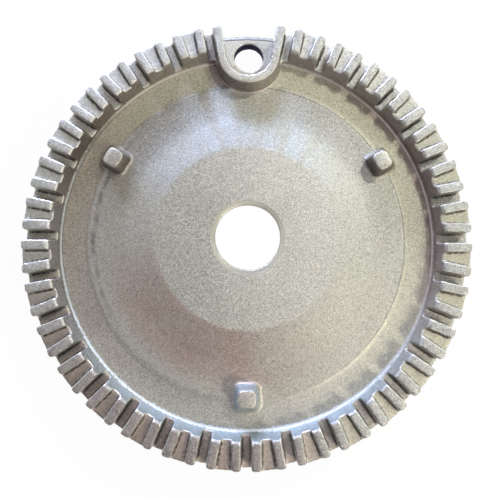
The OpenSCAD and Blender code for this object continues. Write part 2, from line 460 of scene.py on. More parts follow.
def slotTree():
    length = "NodeSocketFloat"
    tree, group, out = newTree("rimOfSlots", "GeometryNodeTree", [
        ("Blank", "NodeSocketGeometry", None), ("Pitches", "NodeSocketInt", 32), ("Slot Width", length, 0.0023),
        ("Slot Depth", length, 0.0033), ("Rib Width", length, 0.0021), ("Land Depth", length, 0.001),
        ("Draft", length, 0.045), ("Slot Start", length, 0.0417), ("Land Start", length, 0.0408),
        ("Head Radius", length, 0.05), ("Rib Top", length, 0.0133), ("End Round", length, 0.0008),
        ("Wander", length, 0.00006),
        ("Seed", "NodeSocketInt", 1), ("Material", "NodeSocketMaterial", None)],
        [("Mesh", "NodeSocketGeometry")])
    end = calc(tree, "ADD", group["Head Radius"], 0.002)
    halfPitch = calc(tree, "DIVIDE", math.pi, group["Pitches"])
    ribEdge = calc(tree, "MULTIPLY_ADD", group["Slot Width"], 0.5, group["Rib Width"])
    apex = calc(tree, "DIVIDE", ribEdge, calc(tree, "SINE", halfPitch))

    def slotHalf(y):
        return calc(tree, "MULTIPLY", group["Slot Width"], 0.5)

    def landHalf(y):
        return calc(tree, "MULTIPLY", calc(tree, "SUBTRACT", y, apex), calc(tree, "TANGENT", halfPitch))

    slotBar = cutterBar(tree, group, slotHalf, group["Slot Depth"], group["Slot Start"], end)
    landBar = cutterBar(tree, group, landHalf, group["Land Depth"], group["Land Start"], end)
    slots = roundTheRing(tree, group, slotBar, calc(tree, "SUBTRACT", group["Pitches"], 1), 1.0, 0)
    lands = roundTheRing(tree, group, landBar, calc(tree, "SUBTRACT", group["Pitches"], 2), 1.5, 7)
    both = put(tree, "GeometryNodeJoinGeometry")
    for part in (slots, lands):
        tree.links.new(part, both.inputs[0])
    plain = put(tree, "GeometryNodeRealizeInstances", {0: both.outputs[0]}).outputs[0]
    grain = put(tree, "ShaderNodeTexNoise", {"Scale": 900.0, "Detail": 2.0}).outputs["Color"]
    centred = put(tree, "ShaderNodeVectorMath", {0: grain, 1: (0.5, 0.5, 0.5)}, operation="SUBTRACT").outputs[0]
    ragged = put(tree, "ShaderNodeVectorMath", {0: centred, "Scale": group["Wander"]}, operation="SCALE").outputs[0]
    doubled = put(tree, "ShaderNodeVectorMath", {0: ragged, "Scale": 4.0}, operation="SCALE").outputs[0]
    rough = put(tree, "GeometryNodeSetPosition", {"Geometry": plain, "Offset": doubled}).outputs[0]
    cut = put(tree, "GeometryNodeMeshBoolean", {"Mesh 1": group["Blank"], "Mesh 2": rough},
              operation="DIFFERENCE", solver="MANIFOLD").outputs[0]
    whole = put(tree, "GeometryNodeRealizeInstances", {0: cut}).outputs[0]
    feed(tree, out[0], put(tree, "GeometryNodeSetMaterial",
                           {"Geometry": whole, "Material": group["Material"]}).outputs[0])
    return tree


skin = {
    "voxel": 0.21,          # mm between points before thinning
    "quickVoxel": 0.42,
    "soften": 1,            # rounds of smoothing
    "edgeReach": 4,         # rounds of blur that find edges and corners
    "quickEdgeReach": 1,
    "ragged": 0.15,         # mm by which worn edges wander
    "swell": 0.08,          # mm by which flat faces wander
    "triangles": 188000,
    "shelterRays": 40,      # looks taken from each point for something in the way
    "shelterReach": 6.0,    # mm
}


def skinTree():
    value = "NodeSocketFloat"
    tree, group, out = newTree("castSkin", "GeometryNodeTree", [
        ("Casting", "NodeSocketGeometry", None), ("Soften", "NodeSocketInt", 2), ("Edge Reach", "NodeSocketInt", 4),
        ("Ragged", value, 0.00009), ("Head Radius", value, 0.05),
        ("Rib Top", value, 0.0133), ("Margin", value, 0.00001), ("Material", "NodeSocketMaterial", None)],
        [("Mesh", "NodeSocketGeometry")])
    place = put(tree, "GeometryNodeInputPosition").outputs[0]
    normal = put(tree, "GeometryNodeInputNormal").outputs[0]

    def blurred(source, rounds):
        return put(tree, "GeometryNodeBlurAttribute", {"Value": source, "Iterations": rounds},
                   data_type="FLOAT_VECTOR").outputs[0]

    soft = put(tree, "GeometryNodeSetPosition",
               {"Geometry": group["Casting"], "Position": blurred(place, group["Soften"])}).outputs[0]
    toMean = put(tree, "ShaderNodeVectorMath", {0: blurred(place, group["Edge Reach"]), 1: place},
                 operation="SUBTRACT").outputs[0]
    bend = put(tree, "ShaderNodeVectorMath", {0: toMean, 1: normal}, operation="DOT_PRODUCT").outputs["Value"]
    worn = mapped(tree, bend, -0.000012, -0.00008)
    dirtAndShade = mapped(tree, bend, 0.000008, 0.00006)
    for name, field in (("edgeWear", worn), ("cavity", dirtAndShade)):
        soft = put(tree, "GeometryNodeStoreNamedAttribute", {"Geometry": soft, "Name": name, "Value": field},
                   data_type="FLOAT", domain="POINT").outputs[0]
    wear = put(tree, "GeometryNodeInputNamedAttribute", {"Name": "edgeWear"}, data_type="FLOAT").outputs[0]
    fine = put(tree, "ShaderNodeTexNoise", {"Scale": 1400.0, "Detail": 2.0}).outputs[0]
    nick = calc(tree, "MULTIPLY", calc(tree, "MULTIPLY", calc(tree, "SUBTRACT", fine, 0.6), wear),
                calc(tree, "MULTIPLY", group["Ragged"], 3.0))
    push = put(tree, "ShaderNodeVectorMath", {0: normal, "Scale": nick}, operation="SCALE").outputs[0]
    moved = put(tree, "GeometryNodeSetPosition", {"Geometry": soft, "Offset": push}).outputs[0]
    # nothing stands out of the casting's own size
    part = put(tree, "ShaderNodeSeparateXYZ", {0: place}).outputs
    highest = calc(tree, "SUBTRACT", group["Rib Top"], group["Margin"])
    widest = calc(tree, "SUBTRACT", group["Head Radius"], group["Margin"])
    z = put(tree, "ShaderNodeClamp", {"Value": part[2], "Min": group["Margin"], "Max": highest}).outputs[0]
    radius = calc(tree, "SQRT", calc(tree, "ADD", calc(tree, "MULTIPLY", part[0], part[0]),
                                     calc(tree, "MULTIPLY", part[1], part[1])))
    keep = calc(tree, "MINIMUM", 1.0, calc(tree, "DIVIDE", widest, calc(tree, "MAXIMUM", radius, 1e-4)))
    inside = put(tree, "ShaderNodeCombineXYZ", {0: calc(tree, "MULTIPLY", part[0], keep),
                                                1: calc(tree, "MULTIPLY", part[1], keep), 2: z}).outputs[0]
    kept = put(tree, "GeometryNodeSetPosition", {"Geometry": moved, "Position": inside}).outputs[0]
    whole = put(tree, "GeometryNodeRealizeInstances", {0: kept}).outputs[0]
    feed(tree, out[0], put(tree, "GeometryNodeSetMaterial",
                           {"Geometry": whole, "Material": group["Material"]}).outputs[0])
    return tree


def shelterTree():
    # stores how far each point is shut in by the casting round it, for the dirt and the painted shade in shut-in places
    value = "NodeSocketFloat"
    tree, group, out = newTree("shelterMap", "GeometryNodeTree", [
        ("Casting", "NodeSocketGeometry", None), ("Rays", "NodeSocketInt", 40), ("Reach", value, 0.006),
        ("Lift", value, 0.00006), ("Swell", value, 0.00003), ("Material", "NodeSocketMaterial", None)],
        [("Mesh", "NodeSocketGeometry")])
    place = put(tree, "GeometryNodeInputPosition").outputs[0]
    normal = put(tree, "GeometryNodeInputNormal").outputs[0]
    first = tree.nodes.new("GeometryNodeRepeatInput")
    last = tree.nodes.new("GeometryNodeRepeatOutput")
    first.pair_with_output(last)
    feed(tree, first.inputs["Iterations"], group["Rays"])
    feed(tree, first.inputs["Geometry"], group["Casting"])
    # the looks spiral evenly from straight up to straight down
    step = first.outputs["Iteration"]
    rise = calc(tree, "SUBTRACT", 1.0, calc(tree, "DIVIDE", calc(tree, "MULTIPLY_ADD", step, 2.0, 1.0), group["Rays"]))
    flat = calc(tree, "SQRT", calc(tree, "SUBTRACT", 1.0, calc(tree, "MULTIPLY", rise, rise)))
    turn = calc(tree, "MULTIPLY", step, math.pi * (3 - math.sqrt(5)))
    way = put(tree, "ShaderNodeCombineXYZ", {
        0: calc(tree, "MULTIPLY", flat, calc(tree, "COSINE", turn)),
        1: calc(tree, "MULTIPLY", flat, calc(tree, "SINE", turn)), 2: rise}).outputs[0]
    lifted = put(tree, "ShaderNodeVectorMath", {0: normal, 1: group["Lift"], 2: place},
                 operation="MULTIPLY_ADD").outputs[0]
    ray = put(tree, "GeometryNodeRaycast", {"Target Geometry": group["Casting"], "Source Position": lifted,
                                            "Ray Direction": way, "Ray Length": group["Reach"]}).outputs
    facing = calc(tree, "MAXIMUM", 0.0, put(tree, "ShaderNodeVectorMath", {0: normal, 1: way},
                                            operation="DOT_PRODUCT").outputs["Value"])
    near = calc(tree, "SUBTRACT", 1.0, calc(tree, "DIVIDE", ray["Hit Distance"], group["Reach"]))
    found = calc(tree, "MULTIPLY", calc(tree, "MULTIPLY", ray["Is Hit"], near), facing)
    before = put(tree, "GeometryNodeInputNamedAttribute", {"Name": "shelter"}, data_type="FLOAT").outputs[0]
    share = calc(tree, "DIVIDE", 4.0, group["Rays"])
    total = calc(tree, "MULTIPLY_ADD", found, share, before)
    stored = put(tree, "GeometryNodeStoreNamedAttribute",
                 {"Geometry": first.outputs["Geometry"], "Name": "shelter", "Value": total},
                 data_type="FLOAT", domain="POINT").outputs[0]
    feed(tree, last.inputs["Geometry"], stored)
    # flat faces swell and sink a little, inwards only, so that the size holds
    broad = put(tree, "ShaderNodeTexNoise", {"Scale": 260.0, "Detail": 2.0}).outputs[0]
    sink = calc(tree, "MULTIPLY", calc(tree, "SUBTRACT", broad, 1.0), group["Swell"])
    dent = put(tree, "ShaderNodeVectorMath", {0: normal, "Scale": sink}, operation="SCALE").outputs[0]
    uneven = put(tree, "GeometryNodeSetPosition", {"Geometry": last.outputs["Geometry"], "Offset": dent}).outputs[0]
    whole = put(tree, "GeometryNodeRealizeInstances", {0: uneven}).outputs[0]
    feed(tree, out[0], put(tree, "GeometryNodeSetMaterial",
                           {"Geometry": whole, "Material": group["Material"]}).outputs[0])
    return tree


def makeCasting(material):
    piece = lathe(castingSection(), "burner_casting", 384)
    combine(piece, makeRecessBlock(), "UNION")
    for index in range(peg["count"]):
        combine(piece, makePeg(index), "UNION")
    print("blank turned, with its recess and pegs:", len(piece.data.polygons), "faces")
    addTree(piece, slotTree(), {
        "Pitches": ring["pitches"], "Slot Width": ring["slotWidth"] * mm, "Slot Depth": ring["slotDepth"] * mm,
        "Rib Width": ring["ribWidth"] * mm, "Land Depth": ring["landDepth"] * mm,
        "Draft": math.radians(ring["draft"]), "Head Radius": headRadius * mm, "Rib Top": ribTop * mm,
        "End Round": ring["endRound"] * mm,
        "Slot Start": recess["centre"] * math.cos(math.radians(pitch)) * mm,
        "Land Start": (ring["ribCircle"] - 3) * mm, "Seed": 4, "Material": material})
    settle(piece)
    print("slots and lands cut:", len(piece.data.polygons), "faces")
    for cutter in makePocket():
        combine(piece, cutter, "DIFFERENCE")
    print("recess cut:", len(piece.data.polygons), "faces")
    remesh = piece.modifiers.new("remesh", "REMESH")
    remesh.mode = "VOXEL"
    remesh.voxel_size = skin["voxel"] * mm
    addTree(piece, skinTree(), {
        "Soften": skin["soften"], "Edge Reach": skin["edgeReach"],
        "Ragged": skin["ragged"] * mm, "Head Radius": headRadius * mm, "Rib Top": ribTop * mm,
        "Material": material})
    settle(piece)
    triangles = 2 * len(piece.data.polygons)
    print("skin made:", triangles, "triangles")
    thin = piece.modifiers.new("thin", "DECIMATE")
    thin.ratio = min(1.0, skin["triangles"] / triangles)
    settle(piece)
    print("thinned:", len(piece.data.polygons), "faces")
    addTree(piece, shelterTree(), {"Rays": skin["shelterRays"], "Reach": skin["shelterReach"] * mm,
                                   "Swell": skin["swell"] * mm, "Material": material})
    settle(piece)
    print("shelter stored")
    for polygon in piece.data.polygons:
        polygon.use_smooth = True
    return piece


finish = {
    "bare": (0.44, 0.425, 0.385),       # dull cast metal
    "olive": (0.42, 0.40, 0.315),       # olive tint on the ring floor and the lands
    "brown": (0.385, 0.295, 0.26),        # brown tint below the plateau and on the lower lands
    "rib": (0.475, 0.47, 0.455),        # ribs and lands, rubbed a little cleaner
    "warmRib": (0.37, 0.335, 0.325),
    "wall": (0.25, 0.21, 0.19),         # dark film and painted shade on the ring's inner wall
    "coldWall": (0.34, 0.34, 0.39),     # bluish grey on the left part of that wall
    "cleanWall": (0.39, 0.45, 0.49),    # painted bluish reflection on that wall, at the bottom
    "pale": (0.47, 0.50, 0.53),         # painted glare on the cone's upper part
    # dark tone for soot and dirt, and for painted shade in corners and creases
    "soot": (0.050, 0.040, 0.036),
    "worn": (0.78, 0.77, 0.74),
    "footLine": (0.68, 0.75, 0.84),     # painted bluish highlight along the foot of the bottom wall
    "footPink": (0.56, 0.47, 0.45),     # painted pale highlight along the foot of the right wall
    "wallShade": (0.21, 0.155, 0.145),   # painted shadow on the ring floor at the foot of the wall
    "pegShade": (0.17, 0.14, 0.125),
    "flange": (0.27, 0.28, 0.265),      # painted shade on the band along the outer edge of the recess floor
    "throat": (0.62, 0.595, 0.52),
    "throatLit": (0.38, 0.365, 0.32),   # duller where the key light catches the lip
    "bore": (0.005, 0.009, 0.050),
    "streak": (0.60, 0.66, 0.76),       # painted glare in bluish radial streaks at the top of the cone
    "tan": (0.36, 0.34, 0.27),          # duller stretch between them, below the recess
    "recessShade": (0.21, 0.165, 0.16),  # painted shadow on the ring floor left of the recess
    "metallic": 0.85,
    "roughness": 0.54,
    "smudgeInset": 1.0,                 # mm from the crease to the dark smudges on its left part
    "grainSize": 0.24,                  # mm
    "fleck": 0.74,                      # share by which grains differ in tone
    "plateauFleck": 0.14,               # more of it on the plateau
    "grainHeight": 0.06,                # mm
}


# Shader groups. Places are in mm, bearings in degrees clockwise from the recess, seen from above
def grainGroup():
    value = "NodeSocketFloat"
    tree, group, out = newTree("castGrain", "ShaderNodeTree", [
        ("Place", "NodeSocketVector", None), ("Size", value, 0.36)], [("Fleck", value), ("Height", value)])
    density = calc(tree, "DIVIDE", 1.0, group["Size"])
    fine = put(tree, "ShaderNodeTexNoise", {"Vector": group["Place"], "Scale": density, "Detail": 2.0,
                                            "Roughness": 0.6}).outputs[0]
    pits = put(tree, "ShaderNodeTexVoronoi", {"Vector": group["Place"],
                                              "Scale": calc(tree, "MULTIPLY", density, 1.3)}).outputs["Distance"]
    broad = put(tree, "ShaderNodeTexNoise", {"Vector": group["Place"],
                                             "Scale": calc(tree, "MULTIPLY", density, 0.35)}).outputs[0]
    mixed = calc(tree, "MULTIPLY_ADD", calc(tree, "SUBTRACT", broad, 0.5), 0.30, calc(tree, "SUBTRACT", fine, 0.5))
    feed(tree, out["Fleck"], calc(tree, "MULTIPLY", mixed, 2.6))
    feed(tree, out["Height"], calc(tree, "MULTIPLY_ADD", pits, 0.5, fine))
    return tree


def patchGroup():
    # soft-edged patches
    value = "NodeSocketFloat"
    tree, group, out = newTree("patches", "ShaderNodeTree", [
        ("Place", "NodeSocketVector", None), ("Size", value, 4.0), ("Cover", value, 0.5), ("Softness", value, 0.1),
        ("Seed", value, 0.0)], [("Mask", value)])
    noise = put(tree, "ShaderNodeTexNoise", {"Vector": group["Place"], "W": group["Seed"],
                                             "Scale": calc(tree, "DIVIDE", 1.0, group["Size"]), "Detail": 4.0,
                                             "Roughness": 0.55}, noise_dimensions="4D").outputs[0]
    level = calc(tree, "SUBTRACT", 1.0, group["Cover"])
    feed(tree, out["Mask"], mapped(tree, noise, calc(tree, "SUBTRACT", level, group["Softness"]),
                                   calc(tree, "ADD", level, group["Softness"])))
    return tree


def polarGroup():
    # radius in mm, and how squarely a point lies towards a bearing, from 0 to 1
    value = "NodeSocketFloat"
    tree, group, out = newTree("towards", "ShaderNodeTree", [
        ("Place", "NodeSocketVector", None), ("Bearing", value, 0.0), ("Reach", value, 60.0)],
        [("Mask", value), ("Radius", value)])
    flat = put(tree, "ShaderNodeVectorMath", {0: group["Place"], 1: (1, 1, 0)}, operation="MULTIPLY").outputs[0]
    turn = calc(tree, "RADIANS", group["Bearing"])
    way = put(tree, "ShaderNodeCombineXYZ", {0: calc(tree, "SINE", turn), 1: calc(tree, "COSINE", turn)}).outputs[0]
    unit = put(tree, "ShaderNodeVectorMath", {0: flat}, operation="NORMALIZE").outputs[0]
    square = put(tree, "ShaderNodeVectorMath", {0: unit, 1: way}, operation="DOT_PRODUCT").outputs["Value"]
    off = calc(tree, "DEGREES", calc(tree, "ARCCOSINE", square))
    feed(tree, out["Mask"], mapped(tree, off, group["Reach"], calc(tree, "MULTIPLY", group["Reach"], 0.3)))
    feed(tree, out["Radius"], put(tree, "ShaderNodeVectorMath", {0: flat}, operation="LENGTH").outputs["Value"])
    return tree


def dirtAndShadeGroup():
    # dirt and painted shade in corners and shut-in places, broken up so that it doesn't end in a clean line
    value = "NodeSocketFloat"
    tree, group, out = newTree("settledDirt", "ShaderNodeTree", [
        ("Place", "NodeSocketVector", None), ("Shelter", value, 0.0), ("Corner", value, 0.0), ("Low", value, 0.2),
        ("High", value, 0.6), ("Break Up", value, 0.15)], [("Mask", value)])
    noise = put(tree, "ShaderNodeTexNoise", {"Vector": group["Place"], "Scale": 1.1, "Detail": 4.0}).outputs[0]
    shift = calc(tree, "MULTIPLY", calc(tree, "SUBTRACT", noise, 0.5), group["Break Up"])
    deep = mapped(tree, calc(tree, "ADD", group["Shelter"], shift), group["Low"], group["High"])
    corner = mapped(tree, calc(tree, "ADD", group["Corner"], shift), 0.35, 0.95)
    feed(tree, out["Mask"], calc(tree, "MAXIMUM", deep, corner))
    return tree


def wearAndHighlightGroup():
    # bright metal along edges that have been rubbed, with painted highlight, more in some places than in others
    value = "NodeSocketFloat"
    tree, group, out = newTree("rubbedEdges", "ShaderNodeTree", [
        ("Place", "NodeSocketVector", None), ("Edge", value, 0.0), ("Amount", value, 0.6)], [("Mask", value)])
    noise = put(tree, "ShaderNodeTexNoise", {"Vector": group["Place"], "Scale": 0.9, "Detail": 5.0,
                                             "Roughness": 0.7}).outputs[0]
    shift = calc(tree, "SUBTRACT", noise, 0.5)
    wearAndHighlight = mapped(tree, calc(tree, "ADD", group["Edge"], shift), 0.4, 0.85)
    feed(tree, out["Mask"], calc(tree, "MULTIPLY", wearAndHighlight, group["Amount"]))
    return tree


def use(tree, groupTree, feeds):
    return put(tree, "ShaderNodeGroup", feeds, node_tree=groupTree).outputs


def blended(tree, mask, under, over, blend="MIX"):
    node = put(tree, "ShaderNodeMix", data_type="RGBA", blend_type=blend)
    feed(tree, node.inputs[0], mask)
    for socket, colour in ((node.inputs[6], under), (node.inputs[7], over)):
        feed(tree, socket, (*colour, 1) if isinstance(colour, tuple) else colour)
    return node.outputs[2]


def castMaterial():
    material = bpy.data.materials.new("cast_aluminium")
    material.use_nodes = True
    tree = material.node_tree
    tree.nodes.clear()
    grain, patches, towards = grainGroup(), patchGroup(), polarGroup()
    dirtAndShadeTree, wear = dirtAndShadeGroup(), wearAndHighlightGroup()
    coords = put(tree, "ShaderNodeTexCoord").outputs
    place = put(tree, "ShaderNodeVectorMath", {0: coords["Object"], "Scale": 1000.0}, operation="SCALE").outputs[0]
    xyz = put(tree, "ShaderNodeSeparateXYZ", {0: place}).outputs
    sideways = put(tree, "ShaderNodeSeparateXYZ", {0: coords["Normal"]}).outputs
    up = sideways[2]

    def stored(name):
        return put(tree, "ShaderNodeAttribute", attribute_name=name).outputs["Fac"]

    def toward(bearing, reach):
        return use(tree, towards, {"Place": place, "Bearing": float(bearing), "Reach": float(reach)})["Mask"]

    def patch(size, cover, softness, seed):
        return use(tree, patches, {"Place": place, "Size": size, "Cover": cover, "Softness": softness,
                                   "Seed": float(seed)})["Mask"]

    def between(value, low, high, soft):
        return calc(tree, "MULTIPLY", mapped(tree, value, low - soft, low + soft),
                    mapped(tree, value, high + soft, high - soft))

    def share(value, amount):
        return calc(tree, "MULTIPLY", value, amount)

    def both(*masks):
        result = masks[0]
        for mask in masks[1:]:
            result = calc(tree, "MULTIPLY", result, mask)
        return result

    radius = use(tree, towards, {"Place": place})["Radius"]
    speck = use(tree, grain, {"Place": place, "Size": finish["grainSize"]})
    flatUp = mapped(tree, up, 0.55, 0.9)
    fromAbove = mapped(tree, up, -0.3, 0.0)
    onFloor = both(between(radius, 36.3, 42.6, 0.4), mapped(tree, xyz[2], floorZ + 0.9, floorZ + 0.4), fromAbove)
    onCone = both(between(radius, 20.8, 35.8, 0.5), fromAbove)
    onLand = both(mapped(tree, radius, 42.5, 43.2), between(xyz[2], landZ - 0.35, landZ + 0.35, 0.2), flatUp)
    inThroat = both(mapped(tree, radius, throatRadius + 0.75, throatRadius + 0.35), mapped(tree, xyz[2], 5.0, 6.0))
    fromBore = put(tree, "ShaderNodeVectorMath", {0: place, 1: (0.0, electrodeAt, 0.0)}, operation="SUBTRACT").outputs[0]
    boreRadius = use(tree, towards, {"Place": fromBore})["Radius"]
    inBore = both(mapped(tree, boreRadius, electrodeRadius + 0.25, electrodeRadius + 0.05),
                  mapped(tree, xyz[2], recessZ - 0.15, recessZ - 0.35), mapped(tree, up, 0.6, 0.3))

    onPlateau = both(mapped(tree, radius, 21.6, 20.6), fromAbove)
    onRib = both(mapped(tree, radius, 43.0, 43.6), mapped(tree, xyz[2], ribTop - 0.6, ribTop - 0.35), flatUp)
    inSlot = both(mapped(tree, radius, 42.0, 42.8), mapped(tree, xyz[2], slotZ + 0.8, slotZ + 0.4), flatUp)
    onWall = both(between(radius, 42.2, 44.4, 0.15), mapped(tree, up, 0.75, 0.45),
                  mapped(tree, xyz[2], floorZ + 0.1, floorZ + 0.5))

    tone = blended(tree, both(onFloor, toward(20, 150)), finish["bare"], finish["olive"])
    tone = blended(tree, both(onFloor, toward(-95, 75), share(patch(7.0, 0.6, 0.3, 8), 0.4)), tone, finish["brown"])
    tone = blended(tree, both(onCone, toward(208, 72), mapped(tree, radius, 35.6, 30.5), share(patch(9.0, 0.66, 0.25, 1), 0.85)), tone, finish["brown"])
    # painted glare: pale radial streaks on the upper part of the cone
    bearing = calc(tree, "ARCTAN2", xyz[0], xyz[1])
    streakPlace = put(tree, "ShaderNodeCombineXYZ", {0: calc(tree, "MULTIPLY", bearing, 7.0),
                                                     1: calc(tree, "MULTIPLY", radius, 0.05)}).outputs[0]
    streak = use(tree, patches, {"Place": streakPlace, "Size": 1.0, "Cover": 0.52, "Softness": 0.12, "Seed": 5.0})["Mask"]
    pale = both(onCone, toward(-5, 75), mapped(tree, radius, 35.0, 24.0), calc(tree, "MULTIPLY_ADD", streak, 0.75, 0.25))
    tone = blended(tree, pale, tone, finish["pale"])
    upperCone = both(between(radius, 26.5, 36.3, 1.4), fromAbove)
    tone = blended(tree, share(both(upperCone, toward(3, 15)), 0.38), tone, finish["tan"])
    # painted glare in single bluish streaks
    for bearingAt, reach, amount in ((-10.5, 7.0, 0.55), (-24, 6.5, 0.22), (19, 9.0, 0.12)):
        ray = share(both(upperCone, toward(bearingAt, reach)), amount)
        tone = blended(tree, ray, tone, finish["streak"])
    # painted shade on the outer cone towards the upper left
    paintedConeShade = both(onCone, mapped(tree, radius, 26.0, 31.0), toward(-60, 55))
    tone = blended(tree, share(paintedConeShade, 0.3), tone, finish["wall"])
    tone = blended(tree, calc(tree, "MAXIMUM", onRib, onLand), tone, finish["rib"])
    tone = blended(tree, both(onRib, toward(205, 65)), tone, finish["warmRib"])
    tone = blended(tree, both(onLand, share(toward(110, 85), 0.8)), tone, finish["olive"])
    tone = blended(tree, both(onLand, share(toward(207, 75), 0.75)), tone, finish["brown"])
    tone = blended(tree, share(patch(6.0, 0.5, 0.3, 2), 0.14), tone, finish["brown"])
    bottomWall = both(onWall, toward(185, 80))
    # film and painted shade: the inner wall darker all round but at the bottom, less so at the top, darkest on the
    # upper left
    wallFilmAndShade = both(onWall, calc(tree, "SUBTRACT", 1.0, toward(180, 110)), calc(tree, "MULTIPLY_ADD", toward(0, 70), -0.45, 1.0),
                    calc(tree, "MULTIPLY_ADD", patch(5.0, 0.7, 0.2, 6), 0.3, 0.7))
    tone = blended(tree, wallFilmAndShade, tone, finish["wall"])
    tone = blended(tree, both(wallFilmAndShade, toward(-62, 62), share(onWall, 0.6)), tone, finish["soot"])
    # painted reflection: the bottom stretch of the inner wall pale and bluish
    tone = blended(tree, bottomWall, tone, finish["cleanWall"])
    tone = blended(tree, share(both(onWall, toward(262, 38)), 0.35), tone, finish["coldWall"])
    tone = blended(tree, share(both(inSlot, toward(205, 70)), 0.6), tone, finish["brown"])
    # painted light on the slot floors towards the upper right
    tone = blended(tree, share(both(inSlot, toward(32, 60)), 0.6), tone, finish["rib"])
    # painted shade, brownish, on the sides of the pegs, apart from those that face the recess
    onPegSide = both(between(radius, 31.8, 38.8, 0.3), mapped(tree, xyz[2], creaseZ + 0.3, creaseZ + 0.9), mapped(tree, up, 0.7, 0.45),
                     mapped(tree, xyz[1], 28.0, 24.0))
    tone = blended(tree, both(onPegSide, mapped(tree, sideways[1], 0.45, 0.05), mapped(tree, xyz[1], -10.0, 5.0),
                              mapped(tree, xyz[2], ribTop, creaseZ + 0.5, 0.55, 1.0)), tone, finish["pegShade"])
    # painted shade, brownish, on the outer side of the recess wall, more on its left
    onRecessWall = both(mapped(tree, radius, 42.3, 41.9), mapped(tree, xyz[1], 32.0, 33.0),
                        mapped(tree, calc(tree, "ABSOLUTE", xyz[0]), 10.5, 9.5), mapped(tree, up, 0.75, 0.5),
                        mapped(tree, xyz[2], creaseZ + 0.2, creaseZ + 0.7))
    tone = blended(tree, both(onRecessWall, mapped(tree, xyz[0], 6.0, -3.0, 0.35, 0.8)), tone, finish["wall"])
    # painted reflection: bluish sides on the bottom peg
    tone = blended(tree, both(onPegSide, mapped(tree, xyz[1], -10.0, -20.0)), tone, finish["cleanWall"])
    fromRecess = put(tree, "ShaderNodeVectorMath", {0: place, 1: (0.0, recess["centre"], 0.0)},
                     operation="SUBTRACT").outputs[0]
    recessRadius = use(tree, towards, {"Place": fromRecess})["Radius"]
    # painted shadow of the recess wall on the ring floor at its left
    besideRecess = both(mapped(tree, recessRadius, recessOuter + 2.7, recessOuter + 2.2),
                        mapped(tree, xyz[0], -3.5, -5.0), mapped(tree, radius, 35.8, 36.4),
                        between(xyz[2], floorZ - 0.6, floorZ + 0.9, 0.2))
    tone = blended(tree, share(besideRecess, 0.85), tone, finish["recessShade"])
    recessFoot = both(mapped(tree, recessRadius, recessOuter + 1.2, recessOuter + 0.9), between(up, 0.6, 0.88, 0.08),
                      mapped(tree, xyz[2], creaseZ + 0.9, creaseZ + 0.6), mapped(tree, radius, 42.0, 41.6))
    # painted shade in the crease at the foot of the cone: a thin dark line, faint and smudged with dirt on the left,
    # gone at the bottom
    wobble = put(tree, "ShaderNodeTexNoise", {"Vector": place, "Scale": 0.22, "Detail": 3.0}).outputs[0]
    leftSide = toward(-84, 50)
    inDish = mapped(tree, xyz[2], creaseZ + 0.7, creaseZ + 0.4)
    wander = calc(tree, "MULTIPLY", calc(tree, "SUBTRACT", wobble, 0.5), calc(tree, "MULTIPLY_ADD", leftSide, 1.6, 0.2))
    fromLine = calc(tree, "ABSOLUTE", calc(tree, "SUBTRACT", calc(tree, "ADD", radius, wander),
                                           dish["creaseRadius"]))
    line = both(mapped(tree, fromLine, 0.28, 0.05), flatUp, toward(50, 125), inDish,
                calc(tree, "MULTIPLY_ADD", patch(3.0, 0.7, 0.15, 3), 0.3, 0.18))
    tone = blended(tree, line, tone, finish["soot"])
    fromSmudge = calc(tree, "ABSOLUTE", calc(tree, "SUBTRACT", calc(tree, "ADD", radius, wander),
                                             dish["creaseRadius"] - finish["smudgeInset"]))
    smudge = both(mapped(tree, fromSmudge, 0.8, 0.1), flatUp, leftSide, inDish,
                  calc(tree, "MULTIPLY_ADD", patch(2.4, 0.5, 0.12, 4), 0.8, 0.2))
    tone = blended(tree, share(smudge, 0.5), tone, finish["soot"])
    # painted shade: a hairline where the recess floor turns down at the rim, a darker band on the rounded edge beyond
    # it, and a dark line along its outer corner
    flangeLine = both(mapped(tree, calc(tree, "ABSOLUTE", calc(tree, "SUBTRACT", radius, headRadius - 0.95)), 0.2, 0.06),
                      mapped(tree, calc(tree, "ABSOLUTE", xyz[0]), recessInner + 1.2, recessInner + 0.9),
                      between(xyz[2], recessZ - 0.3, recessZ + 0.2, 0.1), mapped(tree, xyz[1], 30.0, 35.0))
    belowFlange = recessZ - 0.8
    onFlange = both(mapped(tree, calc(tree, "ABSOLUTE", xyz[0]), recessInner + 1.2, recessInner + 0.9),
                    between(xyz[2], belowFlange, recessZ + 0.2, 0.1), mapped(tree, xyz[1], 30.0, 35.0))
    tone = blended(tree, both(onFlange, mapped(tree, radius, headRadius - 0.95, headRadius - 0.85), 0.8), tone, finish["flange"])
    flangeRim = both(onFlange, mapped(tree, radius, headRadius - 0.4, headRadius - 0.2))
    tone = blended(tree, share(calc(tree, "MAXIMUM", flangeLine, flangeRim), 0.85), tone, finish["soot"])

    # grains, dirt, wear and painted light and shade over every tone
    coarse = calc(tree, "MULTIPLY_ADD", onPlateau, finish["plateauFleck"], finish["fleck"])
    coarse = calc(tree, "MULTIPLY", coarse, calc(tree, "MULTIPLY_ADD", bottomWall, -0.45, 1.0))
    coarse = calc(tree, "MULTIPLY_ADD", mapped(tree, xyz[2], ribTop - 0.7, ribTop - 0.4), 0.1, coarse)
